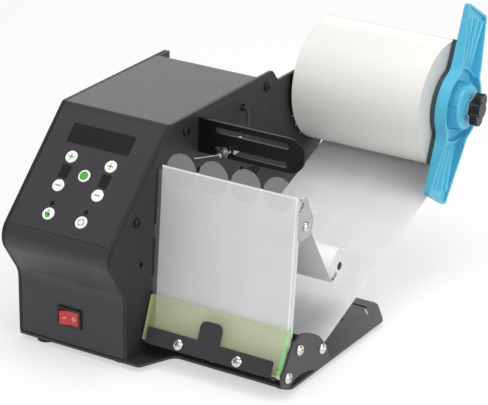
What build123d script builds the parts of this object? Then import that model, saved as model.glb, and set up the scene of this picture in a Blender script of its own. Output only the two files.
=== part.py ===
from build123d import *
import os
from math import asin, atan2, cos, degrees, hypot, pi, radians, sin, sqrt, tan

os.makedirs("parts", exist_ok=True)

# Place of the machine: x is measured from the left face of the box, y from its lower front, z from the floor
left_x = -117.8
front_y = -148.64

# Sheet metal of the box
sheet = 1.5
plate = 2.5
seat = 0.3
seam = 0.8
foot_h = 4.0
base_t = 2.0
floor_z = foot_h + base_t
box_x = 93.6
box_outer = box_x + plate
cover_x = plate + seat
cover_w = box_x - seam - cover_x
body_top = 168.0
slope_top_y = 58.8
slope = 44.0
slope_len = 113.2
knee_z = 54.5
cover_back = 177.7
rear_y = 178.0
edge_proud = 0.8
side_back = 196.0

# Peel section
web_x = 100.5
web_w = 110.5
web_t = 0.25
liner_t = 0.15
peel_x = 97.0
peel_end = 213.2
peel_y = 40.0
peel_z = 145.2
peel_lean = 5.0
peel_t = 2.0
peel_foot = 15.0
ear_x = peel_end + 0.5
ear_t = 2.0
ear_out = ear_x + ear_t
rod_r = 4.0
guide_r = 3.0
front_rod = (38.6, 31.6)
upper_rod = (46.0, 122.8)
guide = (70.5, 19.5)
guide_roll_r = 5.0
pivot = (23.3, 16.1)

# Take-up drive
takeup = (100.8, 71.5)
takeup_r = 12.5
liner_r = 12.95
takeup_end = web_x + web_w + 0.5
shaft_r = 4.0
gear_module = 1.0
gear_teeth = 48
pinion_teeth = 16
gear_gap = 0.2
motor = (takeup[0] + gear_module * (gear_teeth + pinion_teeth) / 2 + gear_gap, takeup[1])

# Supply side
spindle = (267.85, 143.33)
spindle_r = 5.0
roll_r = 48.5
roll_x = 99.3
roll_end = 208.4
core_r = 20.0
core_t = 2.0
pad_t = 4.3
holder_x = roll_end + seat + pad_t
holder_tilt = 22.0
knob_tilt = 24.8

# Presser flap
flap_y = 15.3
flap_z = 18.4
flap_lean = 22.0
flap_h = 33.4
window_t = 3.0
window_x = 98.3
strip_x = 102.0
strip_end = peel_end - 6.2
strip_t = 1.5

# Label sensor
bar_y = 93.1
bar_t = 2.0
bar_z = (137.0, 163.5)
bar_end = 185.2
bar_foot = 13.5
bar_screws = [(101.0, 143.7), (112.0, 143.7)]
sensor_x = 119.5
sensor_z = 142.5

# Control panel: x across, s down the slope from its top line
row = slope_len / 11.32
keys = {
    "button_speed_up": (29.0, 4.11 * row),
    "button_rows_up": (63.4, 4.13 * row),
    "button_reset": (46.1, 5.3 * row),
    "button_speed_down": (29.1, 6.46 * row),
    "button_rows_down": (63.4, 6.49 * row),
    "button_manual": (31.8, 8.71 * row),
    "button_auto": (60.5, 8.73 * row),
}
key_r = 0.475 * row
key_hole = key_r + 0.3
display = (46.0, 2.27 * row, 54.0, 15.6)
digits = [(29.1, 5.31 * row), (64.0, 5.33 * row)]
digit_size = (7.8, 1.07 * row)
lamps = [(31.1, 7.89 * row), (60.7, 7.92 * row)]
board_z = -12.0
studs = [(12.0, row), (82.0, row), (12.0, 9.4 * row), (82.0, 9.4 * row)]

slope_r = radians(slope)
apex = (slope_top_y - slope_len * cos(slope_r), body_top - slope_len * sin(slope_r))
panel_plane = Plane(
    origin=(left_x, front_y + slope_top_y, body_top),
    x_dir=(1, 0, 0),
    z_dir=(0, -sin(slope_r), cos(slope_r)),
)


# Planes of the machine
def side(x):
    return Plane(origin=(left_x + x, front_y, 0), x_dir=(0, 1, 0), z_dir=(1, 0, 0))


def front(y):
    return Plane(origin=(left_x, front_y + y, 0), x_dir=(1, 0, 0), z_dir=(0, -1, 0))


def level(z):
    return Plane(origin=(left_x, front_y, z))


def panel(depth):
    return panel_plane.offset(depth)


def leaning(y, z, lean, x):
    turn = radians(lean)
    return Plane(
        origin=(left_x + x, front_y + y, z), x_dir=(0, cos(turn), -sin(turn)), z_dir=(1, 0, 0)
    )


def facing(y, z, lean, out):
    turn = radians(lean)
    flat = Plane(
        origin=(left_x, front_y + y, z), x_dir=(1, 0, 0), z_dir=(0, -cos(turn), sin(turn))
    )
    return flat.offset(out)


def across(x):
    return leaning(spindle[0], spindle[1], holder_tilt, x)


# Outline of the box seen from the side, with the edge standing out by the given amount
def box_outline(grow):
    return [
        (-grow, floor_z),
        (-grow, knee_z + grow * 0.3),
        (apex[0] - grow * 1.3, apex[1] + grow * 0.2),
        (slope_top_y - grow * tan(slope_r / 2), body_top + grow),
    ]


# Base plate with its upturned ear
tab_y = [60.0, 165.0]
with BuildPart() as base_plate:
    with BuildSketch(level(foot_h)):
        with BuildLine():
            FilletPolyline(
                (0, -edge_proud),
                (106.5, -edge_proud),
                (119, 27),
                (ear_out, 27),
                (ear_out, 162),
                (199, 184),
                (0, 184),
                radius=[2, 4, 8, 6, 6, 8, 4],
                close=True,
            )
        make_face()
        with BuildLine():
            slot_line = Polyline((181, 173), (194, 173), (202.5, 163.5))
            offset(amount=1.0)
        make_face(mode=Mode.SUBTRACT)
        with Locations((189.6, 143.8)):
            Circle(2.2, mode=Mode.SUBTRACT)
    extrude(amount=base_t)
    with BuildSketch(side(ear_x)):
        with BuildLine():
            crown = Spline(
                (16.2, 19.8),
                (22.2, 27.0),
                (28.6, 36.6),
                (37.5, 41.7),
                (52.3, 38.8),
                (65.6, 31.6),
                (75.1, 21.4),
                (84.0, foot_h),
            )
            Line(crown @ 1, (66.0, foot_h))
            under = Spline((66.0, foot_h), (54.0, 8.9), (43.0, 11.2), (31.5, 10.0))
            ThreePointArc(under @ 1, (22.4, 8.0), crown @ 0)
        make_face()
        with Locations(front_rod, guide, pivot):
            Circle(2.1, mode=Mode.SUBTRACT)
    extrude(amount=ear_t)
base_plate.part.label = "base_plate"
export_step(base_plate.part, "parts/base_plate.step")

# Angle brackets welded on the base plate, one at each lower screw of the side plates
with BuildPart() as base_brackets:
    for wall_x, foot_x in ((plate, plate + 6), (box_x - base_t, box_x - 6)):
        with BuildSketch(side(wall_x)):
            with Locations(*[(y, floor_z + 8) for y in tab_y]):
                Rectangle(16, 16)
                Circle(2.0, mode=Mode.SUBTRACT)
        extrude(amount=base_t)
        with BuildSketch(level(floor_z)):
            with Locations(*[(foot_x, y) for y in tab_y]):
                Rectangle(12, 16)
        extrude(amount=base_t)
base_brackets.part.label = "base_brackets"
export_step(base_brackets.part, "parts/base_brackets.step")

# Screws through the side plates, seen from the side
cover_screws = [(13.0, 109.4), (76.6, 158.4)]
panel_screws = [(187.6, 158.3), (187.6, 40.0)]
tab_screws = [(y, floor_z + 8) for y in tab_y]
motor_screws = [(166.6, 97.0), (173.4, 96.0), (66.0, 71.5)]

# Left side plate
with BuildPart() as left_side_plate:
    with BuildSketch(side(0)):
        with BuildLine():
            FilletPolyline(
                *box_outline(0.0),
                (side_back, body_top),
                (side_back, 26),
                (183, floor_z),
                radius=[0, 18.6, 15.8, 3.8, 4, 10, 1],
                close=True,
            )
        make_face()
        with Locations(*cover_screws, *panel_screws, *tab_screws):
            Circle(2.1, mode=Mode.SUBTRACT)
    extrude(amount=plate)
left_side_plate.part.label = "left_side_plate"
export_step(left_side_plate.part, "parts/left_side_plate.step")

# Right side plate with the arm that carries the label roll
with BuildPart() as right_side_plate:
    with BuildSketch(side(box_x)):
        with BuildLine():
            FilletPolyline(
                *box_outline(edge_proud),
                (side_back, body_top + edge_proud),
                (204.6, 158.5),
                (spindle[0] + 24, 158.5),
                (spindle[0] + 24, 106),
                (184, floor_z),
                radius=[0, 18.6, 15.8, 3.8, 4, 4, 16, 14, 1],
                close=True,
            )
        make_face()
        with Locations(*cover_screws, *panel_screws, *tab_screws, *motor_screws):
            Circle(2.1, mode=Mode.SUBTRACT)
        with Locations(*bar_screws):
            Circle(2.1, mode=Mode.SUBTRACT)
        with Locations((18.4, 75.0), (93.1, 123.1), (152.5, 103.7)):
            Circle(2.2, mode=Mode.SUBTRACT)
        with Locations((229, 121.5), (234, 113), (241, 104)):
            Circle(2.5, mode=Mode.SUBTRACT)
        with Locations((153.5, 152.3)):
            Circle(3.0, mode=Mode.SUBTRACT)
        with Locations(spindle):
            Circle(spindle_r + 0.05, mode=Mode.SUBTRACT)
        with Locations(takeup):
            Circle(6.05, mode=Mode.SUBTRACT)
        with Locations(front_rod, upper_rod):
            Circle(3.05, mode=Mode.SUBTRACT)
        with Locations(guide, pivot):
            Circle(2.55, mode=Mode.SUBTRACT)
    extrude(amount=plate)
    with BuildSketch(leaning(peel_y, peel_z, peel_lean, box_x)):
        with Locations((peel_t / 2, -50), (peel_t / 2, -90)):
            Rectangle(peel_t + 0.2, 10.2)
    extrude(amount=plate, mode=Mode.SUBTRACT)
right_side_plate.part.label = "right_side_plate"
export_step(right_side_plate.part, "parts/right_side_plate.step")

# Bent cover: lower front, overhanging chin, control slope and top
cover_screw = (cover_screws[0][0] - slope_top_y, cover_screws[0][1] - body_top)
tab_deep = cover_screw[0] * sin(slope_r) - cover_screw[1] * cos(slope_r)
tab_up = cover_screw[0] * cos(slope_r) + cover_screw[1] * sin(slope_r)
with BuildPart() as front_cover:
    with BuildSketch(side(cover_x)):
        with BuildLine():
            FilletPolyline(
                (0, floor_z + seat),
                (0, knee_z),
                apex,
                (slope_top_y, body_top),
                (cover_back, body_top),
                radius=[18.6, 15, 3],
            )
            offset(amount=sheet, side=Side.RIGHT)
        make_face()
    extrude(amount=cover_w)
    for tab_x in (plate, box_x - sheet):
        with BuildSketch(leaning(slope_top_y, body_top, 90 - slope, tab_x)):
            with Locations((tab_deep / 2 + 3, tab_up)):
                Rectangle(tab_deep + 5, 13)
            with Locations((tab_deep, tab_up)):
                Circle(2.0, mode=Mode.SUBTRACT)
        extrude(amount=sheet)
        with BuildSketch(side(tab_x)):
            with Locations((76.6, body_top - 8)):
                Rectangle(13, 15)
            with Locations((76.6, 158.4)):
                Circle(2.0, mode=Mode.SUBTRACT)
        extrude(amount=sheet)
    with BuildSketch(panel(0)):
        with Locations((display[0], -display[1])):
            Rectangle(display[2] - 3, display[3] - 3)
        with Locations(*[(x, -s) for x, s in digits]):
            Rectangle(digit_size[0] - 1.6, digit_size[1] - 1.6)
        with Locations(*[(x, -s) for x, s in lamps]):
            Circle(1.8)
        with Locations(*[(x, -s) for x, s in keys.values()]):
            Circle(key_hole)
    extrude(amount=-3, mode=Mode.SUBTRACT)
    with BuildSketch(front(0)):
        with Locations((45.7, 28)):
            Rectangle(19.4, 13.4)
    extrude(amount=-3, mode=Mode.SUBTRACT)
    with BuildSketch(panel(board_z + 1.6)):
        with Locations(*[(x, -s) for x, s in studs]):
            Circle(2.5)
    extrude(amount=-board_z - 1.6 - sheet)
    with BuildSketch(panel(board_z - 0.8)):
        with Locations(*[(x, -s) for x, s in studs]):
            Circle(1.5)
    extrude(amount=3.0)
front_cover.part.label = "front_cover"
export_step(front_cover.part, "parts/front_cover.step")

# Rear panel with its side flanges, air slots and the opening for the inlet
inlet = (47.0, 38.0)
with BuildPart() as rear_panel:
    with BuildSketch(level(floor_z)):
        with Locations((box_x / 2 + plate / 2, rear_y + sheet / 2)):
            Rectangle(box_x - plate, sheet)
    extrude(amount=body_top - seat - floor_z)
    with BuildSketch(level(30)):
        with Locations((plate + sheet / 2, rear_y + 8), (box_x - sheet / 2, rear_y + 8)):
            Rectangle(sheet, 16)
    extrude(amount=body_top - seat - 30)
    with BuildSketch(front(rear_y)):
        with Locations(inlet):
            Rectangle(28.4, 21.4)
        with Locations(*[(47, z) for z in (92, 102, 112, 122, 132)]):
            SlotOverall(56, 3.6)
    extrude(amount=-sheet, mode=Mode.SUBTRACT)
    with BuildSketch(side(0)):
        with Locations(*panel_screws):
            Circle(2.0)
    extrude(amount=box_outer, mode=Mode.SUBTRACT)
rear_panel.part.label = "rear_panel"
export_step(rear_panel.part, "parts/rear_panel.step")

# Rubber feet
foot_places = [
    (18, 9),
    (18, 170),
    (ear_out - 12.7, 40),
    (ear_out - 19.7, 151),
    (84, 170),
    (84, 12),
]
with BuildPart() as rubber_feet:
    with BuildSketch(level(0)):
        with Locations(*foot_places):
            Circle(7)
    extrude(amount=foot_h, taper=6)
rubber_feet.part.label = "rubber_feet"
export_step(rubber_feet.part, "parts/rubber_feet.step")


# Pan head screws with their heads standing on the plane
upward = (Align.CENTER, Align.CENTER, Align.MIN)


def spots(plane, places, height):
    return [plane.location * Location((a, b, height)) for a, b in places]


def screw(plane, places, reach, head_r=3.9, head_h=2.4):
    with Locations(*spots(plane, places, 0)):
        Cylinder(head_r, head_h * 0.45, align=upward)
    with Locations(*spots(plane, places, head_h * 0.45)):
        Cone(head_r, head_r - 1.1, head_h * 0.55, align=upward)
    with Locations(*spots(plane, places, -reach)):
        Cylinder(1.95, reach, align=upward)


with BuildPart() as pan_head_screws:
    screw(side(box_outer), [*cover_screws, *panel_screws, *tab_screws, *motor_screws], 5)
    screw(side(box_outer + bar_t), bar_screws, 6)
    left_face = Plane(origin=(left_x, front_y, 0), x_dir=(0, -1, 0), z_dir=(-1, 0, 0))
    left_places = [(-y, z) for y, z in (*cover_screws, *panel_screws, *tab_screws)]
    screw(left_face, left_places, 5)
pan_head_screws.part.label = "pan_head_screws"
export_step(pan_head_screws.part, "parts/pan_head_screws.step")

with BuildPart() as rod_screws:
    screw(side(ear_out), [front_rod, guide, pivot], 8, head_r=4.2, head_h=2.8)
    screw(side(peel_end + 1.5), [upper_rod], 8, head_r=3.6, head_h=2.4)
rod_screws.part.label = "rod_screws"
export_step(rod_screws.part, "parts/rod_screws.step")

# Membrane overlay on the control slope
with BuildPart() as control_overlay:
    with BuildSketch(panel(0)):
        with Locations((46.5, -51.9)):
            RectangleRounded(82, 96.8, 3)
        with Locations((display[0], -display[1])):
            Rectangle(display[2] + 0.1, display[3] + 0.1, mode=Mode.SUBTRACT)
        with Locations(*[(x, -s) for x, s in digits]):
            Rectangle(digit_size[0] + 0.1, digit_size[1] + 0.1, mode=Mode.SUBTRACT)
        with Locations(*[(x, -s) for x, s in lamps]):
            Circle(1.8, mode=Mode.SUBTRACT)
        with Locations(*[(x, -s) for x, s in keys.values()]):
            Circle(key_hole, mode=Mode.SUBTRACT)
    extrude(amount=0.4)
control_overlay.part.label = "control_overlay"
export_step(control_overlay.part, "parts/control_overlay.step")

# Counter window and the two small digit windows
with BuildPart() as panel_windows:
    with BuildSketch(panel(0)):
        with Locations((display[0], -display[1])):
            Rectangle(display[2], display[3])
        with Locations(*[(x, -s) for x, s in digits]):
            Rectangle(*digit_size)
    extrude(amount=0.5)
panel_windows.part.label = "panel_windows"
export_step(panel_windows.part, "parts/panel_windows.step")

# Status lamps standing on the circuit board
board_top = board_z + 1.6
with BuildPart() as status_lamps:
    with BuildSketch(panel(board_top)):
        with Locations(*[(x, -s) for x, s in lamps]):
            Circle(1.9)
    extrude(amount=1.2)
    with BuildSketch(panel(board_top)):
        with Locations(*[(x, -s) for x, s in lamps]):
            Circle(1.5)
    extrude(amount=0.7 - board_top)
status_lamps.part.label = "status_lamps"
export_step(status_lamps.part, "parts/status_lamps.step")

# Round keys: cap, retaining rim under the cover and stem down to its switch
for key_name, (key_x, key_s) in keys.items():
    with BuildPart() as key:
        with BuildSketch(panel(-4.1)):
            with Locations((key_x, -key_s)):
                Circle(2.0)
        extrude(amount=2)
        with BuildSketch(panel(-3.0)):
            with Locations((key_x, -key_s)):
                Circle(key_hole + 0.6)
        extrude(amount=3.0 - sheet - 0.2)
        with BuildSketch(panel(-2.0)):
            with Locations((key_x, -key_s)):
                Circle(key_r)
        extrude(amount=2.9)
        chamfer(key.edges().group_by(lambda e: (e.center() - panel_plane.origin).dot(panel_plane.z_dir))[-1], 0.3)
    key.part.label = key_name
    export_step(key.part, f"parts/{key_name}.step")

# Circuit board behind the slope
with BuildPart() as circuit_board:
    with BuildSketch(panel(board_z)):
        with Locations((47, -5.2 * row)):
            Rectangle(78, 9 * row)
        with Locations(*[(x, -s) for x, s in studs]):
            Circle(1.55, mode=Mode.SUBTRACT)
    extrude(amount=1.6)
circuit_board.part.label = "circuit_board"
export_step(circuit_board.part, "parts/circuit_board.step")

with BuildPart() as display_modules:
    with BuildSketch(panel(board_top)):
        with Locations((display[0], -display[1])):
            Rectangle(display[2] - 2, display[3] - 1)
        with Locations(*[(x, -s) for x, s in digits]):
            Rectangle(digit_size[0] + 1.2, digit_size[1] + 0.3)
    extrude(amount=-board_top - sheet - 0.3)
display_modules.part.label = "display_modules"
export_step(display_modules.part, "parts/display_modules.step")

with BuildPart() as tact_switches:
    with BuildSketch(panel(board_top)):
        with Locations(*[(x, -s) for x, s in keys.values()]):
            Rectangle(6, 6)
    extrude(amount=3.6)
    with BuildSketch(panel(board_top + 3.6)):
        with Locations(*[(x, -s) for x, s in keys.values()]):
            Circle(1.6)
    extrude(amount=1.4)
tact_switches.part.label = "tact_switches"
export_step(tact_switches.part, "parts/tact_switches.step")

# Mains switch: housing snapped into the lower front, and its rocker
switch_x = 45.7
switch_z = 28.0
rocker_y = 3.2
rocker_rest = 10.0
with BuildPart() as switch_housing:
    with BuildSketch(front(0)):
        with Locations((switch_x, switch_z)):
            RectangleRounded(21, 15, 1)
    extrude(amount=1.8)
    with BuildSketch(front(0)):
        with Locations((switch_x, switch_z)):
            Rectangle(19, 13)
    extrude(amount=-19)
    with BuildSketch(front(1.8 - 1.8)):
        with Locations((switch_x, switch_z)):
            Rectangle(17.8, 11.4)
    extrude(amount=1.8, mode=Mode.SUBTRACT)
    with BuildSketch(front(0)):
        with Locations((switch_x, switch_z)):
            Rectangle(17.8, 11.4)
    extrude(amount=-12, mode=Mode.SUBTRACT)
    with BuildSketch(level(switch_z - 6)):
        with Locations((switch_x, rocker_y)):
            Circle(1.4)
    extrude(amount=12)
    for pin_x in (-6, 0, 6):
        with BuildSketch(front(19)):
            with Locations((switch_x + pin_x, switch_z)):
                Rectangle(0.8, 6.3)
        extrude(amount=-8)
switch_housing.part.label = "switch_housing"
export_step(switch_housing.part, "parts/switch_housing.step")

rocker_plane = Plane(
    origin=(left_x + switch_x, front_y + rocker_y, switch_z - 5.4),
    x_dir=(cos(radians(rocker_rest)), sin(radians(rocker_rest)), 0),
    z_dir=(0, 0, 1),
)
with BuildPart() as switch_rocker:
    with BuildSketch(rocker_plane):
        with BuildLine():
            Polyline(
                (-7.5, -6.4), (0, -4.6), (7.5, -6.4), (7.5, -1), (3, 4), (-3, 4), (-7.5, -1), close=True
            )
        make_face()
        Circle(1.45, mode=Mode.SUBTRACT)
    extrude(amount=10.8)
switch_rocker.part.label = "switch_rocker"
export_step(switch_rocker.part, "parts/switch_rocker.step")

# Motor bracket: a web that holds both shafts, and two feet on the right side plate
web_in = 76.0
with BuildPart() as motor_bracket:
    with BuildSketch(side(web_in)):
        with BuildLine():
            Polyline((72, 50), (162, 50), (162, 105), (140, 105), (72, 84), close=True)
        make_face()
    extrude(amount=2)
    with BuildSketch(level(88)):
        with Locations(((web_in + box_x) / 2, 161)):
            Rectangle(box_x - web_in, 2)
        with Locations((box_x - 1, 168.5)):
            Rectangle(2, 17)
    extrude(amount=17)
    with BuildSketch(level(62)):
        with Locations(((web_in + box_x) / 2, 73)):
            Rectangle(box_x - web_in, 2)
        with Locations((box_x - 1, 66)):
            Rectangle(2, 16)
    extrude(amount=19)
    with BuildSketch(side(web_in - 5)):
        with Locations(takeup):
            Circle(6.05)
        with Locations(motor):
            Circle(5.5)
    extrude(amount=10, mode=Mode.SUBTRACT)
    with BuildSketch(side(web_in + 6)):
        with Locations(*motor_screws):
            Circle(2.0)
    extrude(amount=20, mode=Mode.SUBTRACT)
motor_bracket.part.label = "motor_bracket"
export_step(motor_bracket.part, "parts/motor_bracket.step")

with BuildPart() as gear_motor:
    with BuildSketch(side(20)):
        with Locations(motor):
            Circle(16)
    extrude(amount=34)
    with BuildSketch(side(54)):
        with Locations(motor):
            Circle(18)
    extrude(amount=web_in - 54)
    with BuildSketch(side(16)):
        with Locations(motor):
            Circle(5)
    extrude(amount=4)
    with BuildSketch(side(web_in)):
        with Locations(motor):
            Circle(5.4)
            Circle(guide_r + 0.05, mode=Mode.SUBTRACT)
    extrude(amount=3)
    with BuildSketch(side(web_in - 12)):
        with Locations(motor):
            Circle(guide_r + 0.05)
    extrude(amount=12, mode=Mode.SUBTRACT)
gear_motor.part.label = "gear_motor"
export_step(gear_motor.part, "parts/gear_motor.step")


# Spur gear with straight flanks through the pitch circle
def gear_part(centre, teeth, phase, x, width, bore):
    pitch = gear_module * teeth / 2
    root = pitch - 1.2 * gear_module
    tip = pitch + 0.95 * gear_module
    half = pi * gear_module / 4 - 0.06
    lean = tan(radians(20))
    points = []
    for tooth in range(teeth):
        middle = radians(phase + 360 * tooth / teeth)
        for radius, wide in (
            (root, half + lean),
            (pitch, half),
            (tip, half - lean * 0.95),
            (tip, -half + lean * 0.95),
            (pitch, -half),
            (root, -half - lean),
        ):
            turn = middle - wide / radius
            points.append((radius * cos(turn), radius * sin(turn)))
    wheel_plane = Plane(
        origin=(left_x + x, front_y + centre[0], centre[1]), x_dir=(0, 1, 0), z_dir=(1, 0, 0)
    )
    with BuildSketch(wheel_plane) as outline:
        with BuildLine():
            Polyline(*points, close=True)
        make_face()
        if bore:
            Circle(bore, mode=Mode.SUBTRACT)
    extrude(outline.sketch, amount=width)


with BuildPart() as takeup_gear:
    gear_part(takeup, gear_teeth, 0, 82, 6, shaft_r + 0.03)
    with BuildSketch(side(79.5)):
        with Locations(takeup):
            Circle(9)
            Circle(shaft_r + 0.03, mode=Mode.SUBTRACT)
    extrude(amount=2.5)
takeup_gear.part.label = "takeup_gear"
export_step(takeup_gear.part, "parts/takeup_gear.step")

with BuildPart() as motor_pinion:
    gear_part(motor, pinion_teeth, 180 / pinion_teeth, 81, 8, 0)
    with BuildSketch(side(web_in - 10)):
        with Locations(motor):
            Circle(guide_r)
    extrude(amount=15)
motor_pinion.part.label = "motor_pinion"
export_step(motor_pinion.part, "parts/motor_pinion.step")

# Take-up shaft, its two bushes, the roller with its clip slot, and the liner wound on it
with BuildPart() as takeup_shaft:
    with BuildSketch(side(70)):
        with Locations(takeup):
            Circle(shaft_r)
    extrude(amount=120)
takeup_shaft.part.label = "takeup_shaft"
export_step(takeup_shaft.part, "parts/takeup_shaft.step")

with BuildPart() as takeup_bushes:
    for bush_x, bush_l, rim_x in ((box_x - 2, plate + 2, box_outer), (web_in - 0.0, 2.5, web_in - 2)):
        with BuildSketch(side(bush_x)):
            with Locations(takeup):
                Circle(6.0)
                Circle(shaft_r + 0.05, mode=Mode.SUBTRACT)
        extrude(amount=bush_l)
        with BuildSketch(side(rim_x)):
            with Locations(takeup):
                Circle(8.5)
                Circle(shaft_r + 0.05, mode=Mode.SUBTRACT)
        extrude(amount=2)
takeup_bushes.part.label = "takeup_bushes"
export_step(takeup_bushes.part, "parts/takeup_bushes.step")

takeup_x = 99.0
clip_turn = 213.0
clip_plane = Plane(
    origin=(left_x + takeup_x, front_y + takeup[0], takeup[1]),
    x_dir=(0, cos(radians(clip_turn)), sin(radians(clip_turn))),
    z_dir=(1, 0, 0),
)
with BuildPart() as takeup_roller:
    with BuildSketch(side(takeup_x)):
        with Locations(takeup):
            Circle(takeup_r)
    extrude(amount=takeup_end - takeup_x)
    with BuildSketch(side(takeup_x)):
        with Locations(takeup):
            Circle(shaft_r + 0.03)
    extrude(amount=191.5 - takeup_x, mode=Mode.SUBTRACT)
    with BuildSketch(side(takeup_end - 14)):
        with Locations(takeup):
            Circle(3.1)
    extrude(amount=14, mode=Mode.SUBTRACT)
    with BuildSketch(clip_plane):
        with Locations((takeup_r - 3.5, 0)):
            Rectangle(7.01, 3)
    extrude(amount=takeup_end - takeup_x, mode=Mode.SUBTRACT)
takeup_roller.part.label = "takeup_roller"
export_step(takeup_roller.part, "parts/takeup_roller.step")

with BuildPart() as liner_clip:
    with BuildSketch(clip_plane.offset(2)):
        with Locations((takeup_r - 3.6, 0)):
            Rectangle(6.2, 2.4)
        with Locations((takeup_r - 2.6, 0)):
            Rectangle(6.2, 0.9, mode=Mode.SUBTRACT)
    extrude(amount=takeup_end - takeup_x - 1.2)
liner_clip.part.label = "liner_clip"
export_step(liner_clip.part, "parts/liner_clip.step")

with BuildPart() as wound_liner:
    with BuildSketch(side(web_x)):
        with Locations(takeup):
            Circle(liner_r)
            Circle(takeup_r + 0.05, mode=Mode.SUBTRACT)
    extrude(amount=web_w)
wound_liner.part.label = "wound_liner"
export_step(wound_liner.part, "parts/wound_liner.step")

# Power supply on its stand-offs, and the mains inlet in the rear panel
with BuildPart() as power_supply:
    with BuildSketch(level(floor_z)):
        with Locations((18, 70), (72, 70), (18, 140), (72, 140)):
            Circle(3)
    extrude(amount=5)
    with BuildSketch(level(floor_z + 5)):
        with Locations((45, 105)):
            Rectangle(64, 80)
    extrude(amount=1.6)
    with BuildSketch(level(floor_z + 6)):
        with Locations((32, 100)):
            Rectangle(24, 26)
        with Locations((62, 118)):
            Rectangle(6, 40)
    extrude(amount=20)
    with BuildSketch(level(floor_z + 6)):
        with Locations((30, 128), (50, 80), (30, 76)):
            Circle(6)
    extrude(amount=18)
power_supply.part.label = "power_supply"
export_step(power_supply.part, "parts/power_supply.step")

with BuildPart() as power_inlet:
    with BuildSketch(front(rear_y + sheet)):
        with Locations(inlet):
            RectangleRounded(40, 27, 4)
    extrude(amount=-2.4)
    with BuildSketch(front(rear_y + sheet)):
        with Locations(inlet):
            Rectangle(28, 21)
    extrude(amount=20)
    with BuildSketch(front(rear_y + sheet + 2.4)):
        with Locations(inlet):
            Rectangle(24.6, 16.6)
    extrude(amount=18, mode=Mode.SUBTRACT)
    with BuildSketch(front(rear_y + sheet - 17)):
        with Locations((inlet[0] - 7, inlet[1] - 2), (inlet[0] + 7, inlet[1] - 2), (inlet[0], inlet[1] + 2)):
            Rectangle(2, 4)
    extrude(amount=-15)
power_inlet.part.label = "power_inlet"
export_step(power_inlet.part, "parts/power_inlet.step")

# Geometry of the running web
web_gap = 0.05
lean_r = radians(peel_lean)
edge = (peel_y - web_gap / cos(lean_r), peel_z + 0.1)
reach = liner_r + 0.3 + liner_t
far = hypot(takeup[0] - edge[0], takeup[1] - edge[1])
fall = atan2(takeup[1] - edge[1], takeup[0] - edge[0]) - asin(reach / far)
run = sqrt(far**2 - reach**2)
down = (cos(fall), sin(fall))
fold = (edge[0] + 2 * down[0], edge[1] + 2 * down[1])
line_end = (edge[0] + run * down[0], edge[1] + run * down[1])
span = (spindle[0] - guide[0], spindle[1] - guide[1])
roll_gap = roll_r + 0.3
guide_gap = guide_roll_r + 0.3
climb = atan2(span[1], span[0]) - asin((roll_gap - guide_gap) / hypot(*span))
leave = (spindle[0] + roll_gap * sin(climb), spindle[1] - roll_gap * cos(climb))
web_z = guide[1] - guide_gap
turn_1 = (guide[0] + guide_gap * tan(climb / 2), web_z)
turn_2 = (edge[0] - (edge[1] - web_z) * tan(lean_r), web_z)

# Label web from the roll, under the guide roller, up the peel plate and over its edge
with BuildPart() as label_web:
    with BuildSketch(side(web_x)):
        with BuildLine():
            FilletPolyline(leave, turn_1, turn_2, edge, fold, radius=[guide_gap, 1.2, 0])
            offset(amount=web_t, side=Side.LEFT)
        make_face()
    extrude(amount=web_w)
label_web.part.label = "label_web"
export_step(label_web.part, "parts/label_web.step")

# Bare liner on its way to the take-up roller
with BuildPart() as liner_return:
    with BuildSketch(side(web_x)):
        with BuildLine():
            Polyline(
                fold,
                line_end,
                (line_end[0] - liner_t * down[1], line_end[1] + liner_t * down[0]),
                (fold[0] - liner_t * down[1], fold[1] + liner_t * down[0]),
                close=True,
            )
        make_face()
    extrude(amount=web_w)
liner_return.part.label = "liner_return"
export_step(liner_return.part, "parts/liner_return.step")

# Clear labels half way off the peel edge
label_r = 12.2
label_pitch = 26.6
with BuildPart() as dispensed_labels:
    with BuildSketch(facing(peel_y, peel_z, peel_lean, web_gap + web_t + 0.05)):
        with Locations(*[(116.5 + label_pitch * n, -0.3) for n in range(4)]):
            Circle(label_r)
    extrude(amount=0.2)
dispensed_labels.part.label = "dispensed_labels"
export_step(dispensed_labels.part, "parts/dispensed_labels.step")


# Peel plate, bevelled behind its edge, with lugs round both cross rods and tabs into the side plate
def along(point):
    back = (point[0] - peel_y) * cos(lean_r) - (point[1] - peel_z) * sin(lean_r)
    up = (point[0] - peel_y) * sin(lean_r) + (point[1] - peel_z) * cos(lean_r)
    return back, up


peel_h = (peel_z - peel_foot) / cos(lean_r)
bevel = peel_t * tan(fall + lean_r)
rod_up = along(upper_rod)
rod_low = along(front_rod)
with BuildPart() as peel_plate:
    with BuildSketch(leaning(peel_y, peel_z, peel_lean, peel_x)):
        with BuildLine():
            FilletPolyline(
                (0, 0),
                (peel_t, bevel),
                (peel_t, -peel_h),
                (0, -peel_h),
                radius=[0, 1, 0.9, 0.9],
                close=True,
            )
        make_face()
    extrude(amount=peel_end - peel_x)
    with BuildSketch(facing(peel_y, peel_z, peel_lean, 0)):
        with Locations((peel_x + 2.3, -1.6)):
            Rectangle(4.61, 3.3)
    extrude(amount=-5, mode=Mode.SUBTRACT)
    with BuildSketch(leaning(peel_y, peel_z, peel_lean, box_x)):
        with Locations((peel_t / 2, -50), (peel_t / 2, -90)):
            Rectangle(peel_t, 10)
    extrude(amount=peel_x - box_x + 1)
    for lug_x in (peel_x + 8, peel_end - 12):
        for lug in (rod_up, rod_low):
            with BuildSketch(leaning(peel_y, peel_z, peel_lean, lug_x)):
                with Locations((lug[0] / 2 + 0.5, lug[1])):
                    Rectangle(lug[0] - 1, 12)
                with Locations(lug):
                    Circle(6)
                with Locations(lug):
                    Circle(rod_r + 0.05, mode=Mode.SUBTRACT)
            extrude(amount=2)
peel_plate.part.label = "peel_plate"
export_step(peel_plate.part, "parts/peel_plate.step")

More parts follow.
